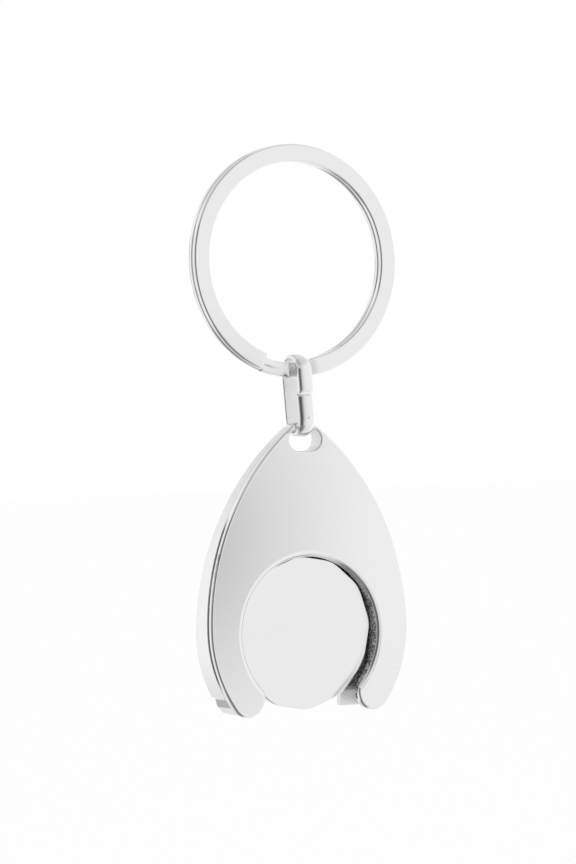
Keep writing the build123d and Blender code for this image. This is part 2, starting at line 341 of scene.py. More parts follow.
class GeometryTree(NodeTree):
    """The nodes of one modifier, with a named input for each size.

    Args:
        name: the tree's name.
        sizes: the value of each named input, in metres, radians or plain numbers.
    """

    point_spacing = 0.001

    def __init__(self, name: str, sizes: dict[str, float]) -> None:
        """Start a tree with its inputs and its output.

        Args:
            name: the tree's name.
            sizes: the value of each named input.
        """
        super().__init__(bpy.data.node_groups.new(name, "GeometryNodeTree"))
        self.sizes = sizes
        interface = self.tree.interface
        interface.new_socket("Geometry", in_out="OUTPUT", socket_type="NodeSocketGeometry")
        for size in sizes:
            interface.new_socket(size, in_out="INPUT", socket_type="NodeSocketFloat")
        self.source = self.tree.nodes.new("NodeGroupInput")

    def size(self, name: str) -> Value:
        """Return one of the named inputs."""
        return Value(self, self.source.outputs[name])

    def steps(self, count: int, name: str, closed: bool = False) -> Value:
        """Make a curve of points that each carry their own number.

        Args:
            count: the number of points.
            name: the attribute that holds each point's number.
            closed: whether the last point joins the first.

        Returns:
            The curve.
        """
        offset = (0.0, 0.0, self.point_spacing)
        line = self.node("GeometryNodeMeshLine", inputs={"Count": count, "Offset": offset})
        curve = self.node("GeometryNodeMeshToCurve", inputs={0: line})
        if closed:
            inputs = {"Geometry": curve, "Cyclic": True}
            curve = self.node("GeometryNodeSetSplineCyclic", inputs=inputs)
        return self.store(curve, name, "FLOAT", self.node("GeometryNodeInputIndex"))

    def store(self, geometry: Value, name: str, kind: str, value: Value) -> Value:
        """Store a value on the points of a geometry.

        Args:
            geometry: the geometry to mark.
            name: the attribute's name.
            kind: the attribute's type.
            value: the value of each point.

        Returns:
            The marked geometry.
        """
        return self.node(
            "GeometryNodeStoreNamedAttribute",
            {"data_type": kind, "domain": "POINT"},
            {"Geometry": geometry, "Name": name, "Value": value},
        )

    def stored(self, name: str) -> Value:
        """Return a number that an earlier node has stored on the points."""
        settings = {"data_type": "FLOAT"}
        return self.node("GeometryNodeInputNamedAttribute", settings, {"Name": name})

    def grow(
        self, piece_name: str, result: Value, material: bpy.types.Material
    ) -> bpy.types.Object:
        """Run the tree once and keep what it makes as a plain mesh.

        Args:
            piece_name: the name of the new piece.
            result: the geometry to keep.
            material: the piece's finish.

        Returns:
            The piece, at the origin, without its modifier.
        """
        whole = self.node("GeometryNodeRealizeInstances", inputs={"Geometry": result})
        inputs = {"Geometry": whole, "Material": material}
        dressed = self.node("GeometryNodeSetMaterial", inputs=inputs)
        self.node("NodeGroupOutput", inputs={"Geometry": dressed})
        piece = bpy.data.objects.new(piece_name, bpy.data.meshes.new(piece_name))
        bpy.context.scene.collection.objects.link(piece)
        modifier = piece.modifiers.new(self.tree.name, "NODES")
        modifier.node_group = self.tree
        for socket in self.tree.interface.items_tree:
            if socket.in_out == "INPUT":
                modifier[socket.identifier] = self.sizes[socket.name]
        evaluated = piece.evaluated_get(bpy.context.evaluated_depsgraph_get())
        mesh = bpy.data.meshes.new_from_object(evaluated)
        piece.modifiers.remove(modifier)
        piece.data = mesh
        mesh.name = piece_name
        return piece


@dataclass(frozen=True)
class PolishedChrome:
    """A polished plated finish with its fine scratches, faint waves and rare specks.

    Args:
        name: the material's name.
        tint: the plating's own colour.
        roughness: how dull the polished surface is.
        scratch_depth: the height of the hairline scratches, in metres.
        wave_depth: the height of the slow waves that polishing leaves, in metres.
        speck_share: how much of a speck's darkness shows.
        seed: moves the pattern, so that no two pieces share it.
        seed_aside: how far it moves the pattern along Y, as a share of that along X.
        speck_scale: the number of places for a speck, per metre.
        speck_edge: the span over which a speck comes in, as a share of its place.
        rarity_scale: the scale of the noise that thins the specks out, per metre.
        rarity: the span of that noise over which specks come in.
        speck_grey: a speck's colour, as a share of the tint.
        haze_scale: the scale of the duller patches, per metre.
        haze: the span of their noise over which they come in.
        clear_share: the roughness outside them, as a share of the full one.
        scratch_turn: how the scratches are turned, in radians.
        scratch_squeeze: the share of each axis that is kept, which makes the scratches long.
        scratch_scale: the scale of the scratches, per metre.
        wave_scale: the scale of the waves, per metre.
    """

    name: str
    tint: Triple = (0.9, 0.9, 0.9)
    roughness: float = 0.05
    scratch_depth: float = 0.0000004
    wave_depth: float = 0.000002
    speck_share: float = 0.6
    seed: float = 0.0
    seed_aside: float = 0.37
    speck_scale: float = 260.0
    speck_edge: Pair = (0.045, 0.02)
    rarity_scale: float = 190.0
    rarity: Pair = (0.56, 0.64)
    speck_grey: float = 0.25
    haze_scale: float = 120.0
    haze: Pair = (0.35, 0.8)
    clear_share: float = 0.6
    scratch_turn: Triple = (0.2, 0.5, 0.3)
    scratch_squeeze: Triple = (1.0, 1.0, 0.03)
    scratch_scale: float = 9000.0
    wave_scale: float = 130.0

    def make(self) -> bpy.types.Material:
        """Build the material.

        Returns:
            The material, with its nodes.
        """
        material = bpy.data.materials.new(self.name)
        material.use_nodes = True
        tree = ShaderTree(material.node_tree)
        point = tree.node("ShaderNodeTexCoord", output="Object")
        shift = (self.seed, self.seed * self.seed_aside, 0.0)
        spread = tree.node("ShaderNodeMapping", inputs={"Vector": point, "Location": shift})
        shader = tree.node(
            "ShaderNodeBsdfPrincipled",
            inputs={
                "Base Color": self.colour(tree, spread),
                "Metallic": self.metal(tree),
                "Roughness": self.dullness(tree, spread),
                "Normal": self.relief(tree, spread),
            },
        )
        tree.node("ShaderNodeOutputMaterial", inputs={"Surface": shader})
        return material

    def metal(self, tree: ShaderTree) -> Value | float:
        """Return how much of the surface is bare metal."""
        return 1.0

    def colour(self, tree: ShaderTree, point: Value) -> Value:
        """Return the plating's colour, darkened at its rare specks.

        Args:
            tree: the material being drawn.
            point: the shaded point, moved by the seed.

        Returns:
            The colour.
        """
        inputs = {"Vector": point, "Scale": self.speck_scale, "Randomness": 1.0}
        specks = tree.node("ShaderNodeTexVoronoi", {"feature": "F1"}, inputs)
        rarity = tree.noise(point, self.rarity_scale, 0.0)
        mask = specks.ease(*self.speck_edge) * rarity.ease(*self.rarity) * self.speck_share
        dark = tuple(part * self.speck_grey for part in self.tint)
        return tree.mix_colour(mask, self.tint, dark)

    def dullness(self, tree: ShaderTree, point: Value) -> Value:
        """Return the roughness, a little higher where handling has dulled the polish."""
        haze = tree.noise(point, self.haze_scale, 3.0).ease(*self.haze)
        return haze * self.roughness + self.roughness * self.clear_share

    def relief(self, tree: ShaderTree, point: Value) -> Value:
        """Return the normal with hairline scratches on slow waves.

        Args:
            tree: the material being drawn.
            point: the shaded point, moved by the seed.

        Returns:
            The normal.
        """
        inputs = {"Vector": point, "Rotation": self.scratch_turn, "Scale": self.scratch_squeeze}
        drawn = tree.node("ShaderNodeMapping", inputs=inputs)
        lines = tree.noise(drawn, self.scratch_scale, 2.0)
        waves = tree.noise(point, self.wave_scale, 1.0)
        height = lines * self.scratch_depth + waves * self.wave_depth + self.form(tree)
        inputs = {"Strength": 1.0, "Distance": 1.0, "Height": height}
        return tree.node("ShaderNodeBump", inputs=inputs)

    def form(self, tree: ShaderTree) -> Value | float:
        """Return the height of any shallow form that the finish adds, in metres."""
        return 0.0


@dataclass(frozen=True)
class RingChrome(PolishedChrome):
    """The ring's plating, with the crown that pressing left behind the front turn's end and a
    painted shade in the corner under that end.

    Args:
        middle_height: the height of the ring's centre.
        middle_radius: the radius of the middle of the wire's width.
        crown: how fast the pressed stretch falls away from its middle, per metre.
        stretch_start: the turn over which the crown comes in, in degrees from the bottom.
        stretch_end: the turn over which it goes, where the link hides it.
        painted_shade_turn: the middle and the half width of the painted shade in the corner, in
            degrees.
        painted_shade_start: the turn over which it starts, at the front turn's end.
        painted_shade_reach: the span over which it comes in, outwards from the wire's middle.
        painted_shade_share: how much of the painted shade's darkness shows.
        painted_shade_tint: the painted shade's colour.
    """

    middle_height: float = 0.0
    middle_radius: float = 0.0
    crown: float = 170.0
    stretch_start: Pair = (-21.3, -20.9)
    stretch_end: Pair = (-5.0, -9.0)
    painted_shade_turn: Pair = (-20.8, 1.5)
    painted_shade_start: Pair = (-21.3, -21.2)
    painted_shade_reach: Pair = (-0.0002, 0.0009)
    painted_shade_share: float = 0.85
    painted_shade_tint: Triple = (0.12, 0.12, 0.12)

    def ways(self, tree: ShaderTree) -> tuple[Value, Value]:
        """Place the shaded point on the ring.

        Args:
            tree: the material being drawn.

        Returns:
            The turn from the ring's lowest point, in degrees, and the way outwards from the
            middle of the wire's width.
        """
        x, _, z = tree.place()
        rise = z - self.middle_height
        turn = tree.math("ARCTAN2", x, rise * -1.0) * math.degrees(1.0)
        return turn, tree.length(x, rise) - self.middle_radius

    def pressed(self, tree: ShaderTree) -> Value:
        """Return 1 on the pressed stretch and 0 on the rest of the ring."""
        turn, _ = self.ways(tree)
        return turn.ease(*self.stretch_start) * turn.ease(*self.stretch_end)

    def form(self, tree: ShaderTree) -> Value:
        """Return the height of the pressed stretch's crown."""
        _, out = self.ways(tree)
        return out * out * self.pressed(tree) * -self.crown

    def colour(self, tree: ShaderTree, point: Value) -> Value:
        """Return the plating's colour, with a painted shade in the corner under the front turn's
        end.

        Args:
            tree: the material being drawn.
            point: the shaded point, moved by the seed.

        Returns:
            The colour.
        """
        turn, out = self.ways(tree)
        # Painted shade: the corner under the front turn's end is darkened in the colour
        corner = turn.bell(*self.painted_shade_turn) * out.ease(*self.painted_shade_reach)
        corner = corner * turn.ease(*self.painted_shade_start) * self.painted_shade_share
        return tree.mix_colour(corner, super().colour(tree, point), self.painted_shade_tint)


@dataclass(frozen=True)
class TokenNickel(PolishedChrome):
    """The token's plating, with the faint dish that striking leaves inside its rim.

    Args:
        middle_height: the height of the token's centre.
        dish_radius: how far from the centre the face starts to rise to the rim.
        dish_rise: how fast it rises there, per metre.
        dish_right: the span of X over which the dish comes in.
        dish_above: the span above the centre over which it comes in.
    """

    middle_height: float = 0.0
    dish_radius: float = 0.0
    dish_rise: float = 100.0
    dish_right: Pair = (0.003, 0.008)
    dish_above: Pair = (0.002, 0.008)

    def form(self, tree: ShaderTree) -> Value:
        """Return the height of the dished rim, which fades out at the token's lower left.

        Args:
            tree: the material being drawn.

        Returns:
            The height, in metres.
        """
        x, _, z = tree.place()
        rise = z - self.middle_height
        past = (tree.length(x, rise) - self.dish_radius).largest(0.0)
        share = x.ease(*self.dish_right).largest(rise.ease(*self.dish_above))
        return past * past * share * self.dish_rise


@dataclass(frozen=True)
class StripChrome(PolishedChrome):
    """The plated strip, polished outside and left duller on its flat inner side.

    Args:
        inner_dullness: how much rougher the inner side is.
    """

    inner_dullness: float = 0.3

    def dullness(self, tree: ShaderTree, point: Value) -> Value:
        """Return the roughness, higher on the inner side.

        Args:
            tree: the material being drawn.
            point: the shaded point, moved by the seed.

        Returns:
            The roughness.
        """
        settings = {"attribute_name": ConnectingLink.inner_mark}
        inner = tree.node("ShaderNodeAttribute", settings, output="Fac")
        return super().dullness(tree, point) + inner * self.inner_dullness


@dataclass(frozen=True)
class PartlyDullChrome(PolishedChrome):
    """A plating that stays dull and mottled in a part that each kind gives: where no polishing
    reaches, and on the plate as painted shade.

    Args:
        dull_radius: how far from the token's centre the dull part reaches.
        dull_height: the height of the token's centre.
        dull_edge: how soft the dull part's edge is.
        dull_roughness: how much rougher the dull part is.
        grain_scale: the scale of the mottling, per metre.
        grain: the span of its noise between the dark and the light patches.
        dark_tint: the colour of the dark patches.
        light_tint: the colour of the light patches.
        oxide_share: how much of the mottled part is covered by oxide; on the plate this darkening
            is part of the painted shade.
        eyelet_edge: how soft the edge of the eyelet's dull wall is.
    """

    dull_radius: float = 0.0
    dull_height: float = 0.0
    dull_edge: float = 0.0002
    dull_roughness: float = 0.35
    grain_scale: float = 2600.0
    grain: Pair = (0.42, 0.62)
    dark_tint: Triple = (0.12, 0.12, 0.12)
    light_tint: Triple = (0.5, 0.5, 0.5)
    oxide_share: float = 0.6
    eyelet_edge: float = 0.00005

    def dull_share(self, tree: ShaderTree) -> Value:
        """Return 1 in the dull part and 0 outside it."""
        raise NotImplementedError

    def mottled_share(self, tree: ShaderTree) -> Value:
        """Return 1 where the dull part is mottled too."""
        return self.dull_share(tree)

    def metal(self, tree: ShaderTree) -> Value:
        """Return how much of the surface is bare metal, less under the mottled part's oxide."""
        return 1.0 - self.mottled_share(tree) * self.oxide_share

    def colour(self, tree: ShaderTree, point: Value) -> Value:
        """Return the plating's colour, mottled in the dull part.

        Args:
            tree: the material being drawn.
            point: the shaded point, moved by the seed.

        Returns:
            The colour.
        """
        grain = tree.noise(point, self.grain_scale, 4.0)
        dull = tree.mix_colour(grain.ease(*self.grain), self.dark_tint, self.light_tint)
        return tree.mix_colour(self.mottled_share(tree), super().colour(tree, point), dull)

    def dullness(self, tree: ShaderTree, point: Value) -> Value:
        """Return the roughness, higher in the dull part and inside the eyelet."""
        share = self.dull_share(tree).largest(self.in_eyelet(tree))
        return super().dullness(tree, point) + share * self.dull_roughness

    def in_eyelet(self, tree: ShaderTree) -> Value:
        """Find the eyelet's wall.

        Args:
            tree: the material being drawn.

        Returns:
            1 on the wall and 0 elsewhere.
        """
        x, _, z = tree.place()
        edge = self.eyelet_edge
        beside = x.absolute().ease(EYELET_HALF_WIDTH + edge, EYELET_HALF_WIDTH)
        above = z.ease(EYELET_BOTTOM - edge, EYELET_BOTTOM)
        return beside * above * z.ease(EYELET_TOP + edge, EYELET_TOP)


@dataclass(frozen=True)
class PlateChrome(PartlyDullChrome):
    """The plate's plating, dull on the right of its round cut-out's wall, where its dark mottle is
    painted shade.

    Args:
        face_depth: how far back the plate's face lies.
        wall_start: the span behind the face over which the dull wall starts.
        shaded_right_side: the span of X over which it comes in, which keeps the painted shade to
            the right side.
        shade_fade_rise: the span above the token's centre over which the painted shade and the
            dullness fade out.
        shade_fade_share: how much of them goes there.
    """

    face_depth: float = 0.0
    wall_start: Pair = (0.00022, 0.0004)
    shaded_right_side: Pair = (0.0, 0.005)
    shade_fade_rise: Pair = (0.004, 0.009)
    shade_fade_share: float = 0.75

    def dull_share(self, tree: ShaderTree) -> Value:
        """Find the right of the cut-out's wall, where shade is painted.

        Args:
            tree: the material being drawn.

        Returns:
            1 on it and 0 on the rest of the plate.
        """
        x, y, z = tree.place()
        rise = z - self.dull_height
        near = tree.length(x, rise).ease(self.dull_radius + self.dull_edge, self.dull_radius)
        # Painted shade: the dark dull mottle stays on the right of the wall and fades above the
        # token's centre
        kept_shade = 1.0 - rise.ease(*self.shade_fade_rise) * self.shade_fade_share
        wall = near * y.ease_past(self.face_depth, self.wall_start)
        return wall * x.ease(*self.shaded_right_side) * kept_shade


@dataclass(frozen=True)
class CastChrome(PartlyDullChrome):
    """The plated casting, polished outside and dull inside its channel.

    Args:
        floor_depth: how far back the channel's floor lies at the token's centre.
        floor_slope: how fast the floor goes back further down.
        floor_edge: the span over which the channel ends at its floor.
        flats_height: the top of the flats at the leg ends.
        flats_edge: how far below it the flats' colour is full.
        flats_painted_reflection: the colour of the painted reflection on the flats.
        mottle_end: the span about the flats' top over which the mottling starts.
        side_reach: how far from the middle the flats on the legs' outer sides start.
        side_edge: how soft their start is.
        side_bottom: the span about the flats' top over which the darker painted reflection on their
            upper part starts.
        side_back: the span behind the floor over which it ends.
        sides_painted_reflection: the colour of that darker painted reflection.
        window_radius: how far from the token's centre the thumb window's side lies.
        mouth_drop: the span about the flats' top over which the window widens.
        mouth_flare: how much wider the window is at its mouth.
    """

    floor_depth: float = 0.0
    floor_slope: float = 0.0
    floor_edge: Pair = (0.0002, 0.0001)
    flats_height: float = 0.0
    flats_edge: float = 0.0002
    flats_painted_reflection: Triple = (0.94, 0.94, 0.94)
    mottle_end: Pair = (-0.0005, 0.0008)
    side_reach: float = 0.0
    side_edge: float = 0.0002
    side_bottom: Pair = (-0.00137, -0.00131)
    side_back: Pair = (0.00085, 0.00065)
    sides_painted_reflection: Triple = (0.44, 0.44, 0.44)
    window_radius: float = 0.0
    mouth_drop: Pair = (-0.001, -0.0026)
    mouth_flare: float = 0.0009

    def dull_share(self, tree: ShaderTree) -> Value:
        """Find the inside of the channel and of the thumb window.

        Args:
            tree: the material being drawn.

        Returns:
            1 inside them and 0 outside.
        """
        _, _, z = tree.place()
        mouth = z.ease_past(self.flats_height, self.mouth_drop) * self.mouth_flare
        sides = self.window_radius
        in_window = (self.reach(tree) - mouth).ease(sides + self.dull_edge, sides)
        return self.in_channel(tree).largest(in_window)

    def mottled_share(self, tree: ShaderTree) -> Value:
        """Return 1 inside the channel, down to the leg ends' flats."""
        _, _, z = tree.place()
        return self.in_channel(tree) * z.ease_past(self.flats_height, self.mottle_end)

    def reach(self, tree: ShaderTree) -> Value:
        """Measure from the line that runs down from the token's centre.

        Args:
            tree: the material being drawn.

        Returns:
            The distance, in metres.
        """
        x, _, z = tree.place()
        above = (z - self.dull_height).largest(0.0)
        return tree.length(x, above)

    def depth(self, tree: ShaderTree) -> Value:
        """Return how far back the shaded point lies, square to the channel's sloping floor."""
        _, y, z = tree.place()
        return y + (z - self.dull_height) * self.floor_slope

    def in_channel(self, tree: ShaderTree) -> Value:
        """Return 1 inside the channel, in front of its floor."""
        near = self.reach(tree).ease(self.dull_radius + self.dull_edge, self.dull_radius)
        return near * self.depth(tree).ease_past(self.floor_depth, self.floor_edge)

    def colour(self, tree: ShaderTree, point: Value) -> Value:
        """Return the plating's colour, with a painted reflection on the flats and a darker one on
        the upper part of their outer sides.

        Args:
            tree: the material being drawn.
            point: the shaded point, moved by the seed.

        Returns:
            The colour.
        """
        x, _, z = tree.place()
        # Painted reflection: a light tint on the leg ends' flats and a darker grey on the upper
        # part of their outer sides
        flats = z.ease(self.flats_height, self.flats_height - self.flats_edge)
        sides = flats * z.ease_past(self.flats_height, self.side_bottom)
        sides = sides * x.absolute().ease(self.side_reach, self.side_reach + self.side_edge)
        sides = sides * self.depth(tree).ease_past(self.floor_depth, self.side_back)
        plain = tree.mix_colour(flats, super().colour(tree, point), self.flats_painted_reflection)
        return tree.mix_colour(sides, plain, self.sides_painted_reflection)


@dataclass(frozen=True)
class RoundedSection:
    """A closed section with four round corners, laid out by the number of each of its points.

    Args:
        half_width: half of its size across.
        half_height: half of its size up.
        corner: the corners' size across and up.
        corner_steps: the number of steps in each corner.
        flat_steps: the number of steps along each flat.
    """

    half_width: float
    half_height: float
    corner: Pair
    corner_steps: int
    flat_steps: int = 1

    @property
    def count(self) -> int:
        """Return the number of points round the section."""
        return 4 * (self.corner_steps + self.flat_steps)

    def sizes(self) -> dict[str, float]:
        """Return the named inputs that the section needs."""
        return {
            "Section Half Width": self.half_width,
            "Section Half Height": self.half_height,
            "Corner Across": self.corner[0],
            "Corner Up": self.corner[1],
        }

    def place(self, tree: GeometryTree) -> tuple[Value, Value, Value, Value]:
        """Place each point of the section by its number.

        Args:
            tree: the tree that sweeps the section.

        Returns:
            The point's place across and up, and the way on round the section, across and up.
        """
        step = tree.stored("section_step")
        period = float(self.corner_steps + self.flat_steps)
        # A quarter step keeps a side's first point from rounding down to the side before
        side = tree.math("FLOOR", (step + 0.25) / period)
        part = step - side * period
        turn = (side + (part / float(self.corner_steps)).smallest(1.0)) * (math.pi / 2)
        along = ((part - float(self.corner_steps)) / float(self.flat_steps)).largest(0.0)
        near, far = (self.corner_centre(tree, side + extra) for extra in (0.0, 1.0))
        across, up = tree.math("COSINE", turn), tree.math("SINE", turn)
        wide, high = tree.size("Corner Across"), tree.size("Corner Up")
        u = near[0] + (far[0] - near[0]) * along + across * wide
        v = near[1] + (far[1] - near[1]) * along + up * high
        return u, v, up * wide * -1.0, across * high

    @staticmethod
    def corner_centre(tree: GeometryTree, side: Value) -> tuple[Value, Value]:
        """Find the centre of the corner that starts a side.

        Args:
            tree: the tree that sweeps the section.
            side: the side's number, counted from the corner across and up.

        Returns:
            The centre's place across and up.
        """
        turn = (side + 0.5) * (math.pi / 2)
        wide = tree.size("Section Half Width") - tree.size("Corner Across")
        high = tree.size("Section Half Height") - tree.size("Corner Up")
        right, above = (tree.math("SIGN", tree.math(kind, turn)) for kind in ("COSINE", "SINE"))
        return right * wide, above * high


@dataclass(frozen=True)
class SweptPiece:
    """A piece whose section follows a path by a rule; each kind gives its own rule.

    Args:
        node: the solid that the piece stands for.
        body: the body that it moves with.
        slot: the record's slot for its finish; not used.
        section: the section that is swept.
        path_steps: the number of places along the path.
    """

    path_nudge = 0.25
    section_nudge = 0.1

    node: Node
    body: Body
    slot: Slot
    section: RoundedSection
    path_steps: int

    @property
    def last_step(self) -> float:
        """Return the number of the path's last place."""
        return float(self.path_steps - 1)

    def sizes(self) -> dict[str, float]:
        """Return the named inputs of the path's rule."""
        raise NotImplementedError

    def point(self, tree: GeometryTree, step: Value, u: Value, v: Value) -> Value:
        """Return the place of a section's point (u, v) at a step of the path."""
        raise NotImplementedError

    def marks(self, tree: GeometryTree, v: Value) -> dict[str, Value]:
        """Return what the finish reads from the surface, by the attribute's name."""
        return {}

    def build(self, material: bpy.types.Material) -> bpy.types.Object:
        """Sweep the piece and put it in the place of its solid.

        Args:
            material: the piece's finish.

        Returns:
            The piece.
        """
        tree = GeometryTree(f"{self.node.value}_sweep", self.section.sizes() | self.sizes())
        path = tree.steps(self.path_steps, "path_step")
        section = tree.steps(self.section.count, "section_step", closed=True)
        inputs = {"Curve": path, "Profile Curve": section, "Fill Caps": True}
        skin = tree.node("GeometryNodeCurveToMesh", inputs=inputs)
        step = tree.stored("path_step")
        u, v, *onward = self.section.place(tree)
        facing = self.facing(tree, step, (u, v), onward)
        skin = tree.store(skin, "facing", "FLOAT_VECTOR", facing)
        for name, mark in self.marks(tree, v).items():
            skin = tree.store(skin, name, "FLOAT", mark)
        inputs = {"Geometry": skin, "Position": self.point(tree, step, u, v)}
        placed = tree.node("GeometryNodeSetPosition", inputs=inputs)
        piece = tree.grow(f"{self.node.value}_swept", placed, material)
        self.smooth(piece.data)
        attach(piece, self.body.value)
        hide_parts(self.node.value)
        LOG.info("piece %s swept, %d faces", piece.name, len(piece.data.polygons))
        return piece

    def facing(
        self, tree: GeometryTree, step: Value, place: tuple[Value, Value], onward: list[Value]
    ) -> Value:
        """Find the way the swept surface faces, from small steps along it and round it.

        Args:
            tree: the tree that sweeps the piece.
            step: the step along the path.
            place: the section's point, across and up.
            onward: the way on round the section, across and up.

        Returns:
            The direction, of length 1.
        """
        (u, v), (du, dv) = place, onward
        ahead, behind = (
            self.point(tree, step + part, u, v) for part in (self.path_nudge, -self.path_nudge)
        )
        after, before = (
            self.point(tree, step, u + du * part, v + dv * part)
            for part in (self.section_nudge, -self.section_nudge)
        )
        along = tree.vector("NORMALIZE", tree.vector("SUBTRACT", ahead, behind))
        around = tree.vector("NORMALIZE", tree.vector("SUBTRACT", after, before))
        return tree.vector("NORMALIZE", tree.vector("CROSS_PRODUCT", around, along))

    @staticmethod
    def smooth(mesh: bpy.types.Mesh) -> None:
        """Shade the skin by the rule's own directions and the two end caps flat.

        Args:
            mesh: the swept mesh, whose faces all have four corners but for the caps.
        """
        mesh.polygons.foreach_set("use_smooth", [True] * len(mesh.polygons))
        facing = [item.vector.copy() for item in mesh.attributes["facing"].data]
        turned = sum(face.normal.dot(facing[face.vertices[0]]) for face in mesh.polygons) < 0
        if turned:
            facing = [-direction for direction in facing]
        normals = [None] * len(mesh.loops)
        for face in mesh.polygons:
            cap = len(face.vertices) > 4
            for loop, vertex in zip(face.loop_indices, face.vertices):
                normals[loop] = face.normal.copy() if cap else facing[vertex]
        mesh.normals_split_custom_set(normals)
        for name in ("facing", "path_step", "section_step"):
            if name in mesh.attributes:
                mesh.attributes.remove(mesh.attributes[name])


@dataclass(frozen=True)
class SplitRing(SweptPiece):
    """The flat wire wound nearly twice round, with its crossover at the bottom.

    Args:
        outer_radius: the ring's outer radius, in metres.
        inner_radius: the ring's inner radius, in metres.
        turn_offset: how far each turn's middle lies from the ring's middle plane.
        front_end: the angle from the bottom at which the front turn ends, in degrees.
        crossover: where the wire starts back, is level and is at rest again, in degrees.
        back_end: the angle at which the back turn ends, in degrees.
        recess: how far the crossover's inner edge is pressed outwards.
        bulge: how far its outer edge stands out.
        ease_share: the part of the crossover in which the pressing grows.
        end_chamfer: how much smaller the wire is at its very ends, as a share of its section.
    """

    outer_radius: float = 0.01775
    inner_radius: float = 0.01495
    turn_offset: float = 0.000535
    front_end: float = -21.5
    crossover: Triple = (-348.0, -379.0, -386.0)
    back_end: float = -704.5
    recess: float = 0.00055
    bulge: float = 0.00015
    ease_share: float = 0.33
    end_chamfer: float = 0.06

    def sizes(self) -> dict[str, float]:
        """Return the named inputs of the winding."""
        start, level, end = (math.radians(angle) for angle in self.crossover)
        return {
            "Outer Radius": self.outer_radius,
            "Inner Radius": self.inner_radius,
            "Turn Offset": self.turn_offset,
            "Front End Angle": math.radians(self.front_end),
            "Back End Angle": math.radians(self.back_end),
            "Crossover Start": start,
            "Crossover Level": level,
            "Crossover End": end,
            "Recess": self.recess,
            "Bulge": self.bulge,
            "Ease Share": self.ease_share,
            "End Chamfer": self.end_chamfer,
        }

    def point(self, tree: GeometryTree, step: Value, u: Value, v: Value) -> Value:
        """Place a point of the wire.

        Args:
            tree: the tree that sweeps the ring.
            step: the step along the wire.
            u: the way outwards from the wire's middle line.
            v: the way towards the back.

        Returns:
            The place.
        """
        size = tree.size
        share = step / self.last_step
        whole_turn = size("Back End Angle") - size("Front End Angle")
        turn = size("Front End Angle") + whole_turn * share
        gone = turn - size("Crossover Start")
        crossed = gone / (size("Crossover End") - size("Crossover Start"))
        pressed = (crossed.smallest(1.0 - crossed) / size("Ease Share")).ease(0.0, 1.0)
        level = (gone / (size("Crossover Level") - size("Crossover Start"))).ease(0.0, 1.0)
        inner = size("Inner Radius") + size("Recess") * pressed
        outer = size("Outer Radius") + size("Bulge") * pressed
        width = (outer - inner) / (size("Outer Radius") - size("Inner Radius"))
        left = step.smallest(self.last_step - step)
        trim = 1.0 - (1.0 - left.ease(0.0, 1.0)) * size("End Chamfer")
        reach = (inner + outer) * 0.5 + u * width * trim
        depth = size("Turn Offset") * (level * 2.0 - 1.0) + v * trim
        x = tree.math("SINE", turn) * reach
        z = tree.math("COSINE", turn) * reach * -1.0 - size("Inner Radius")
        return tree.join(x, depth, z)


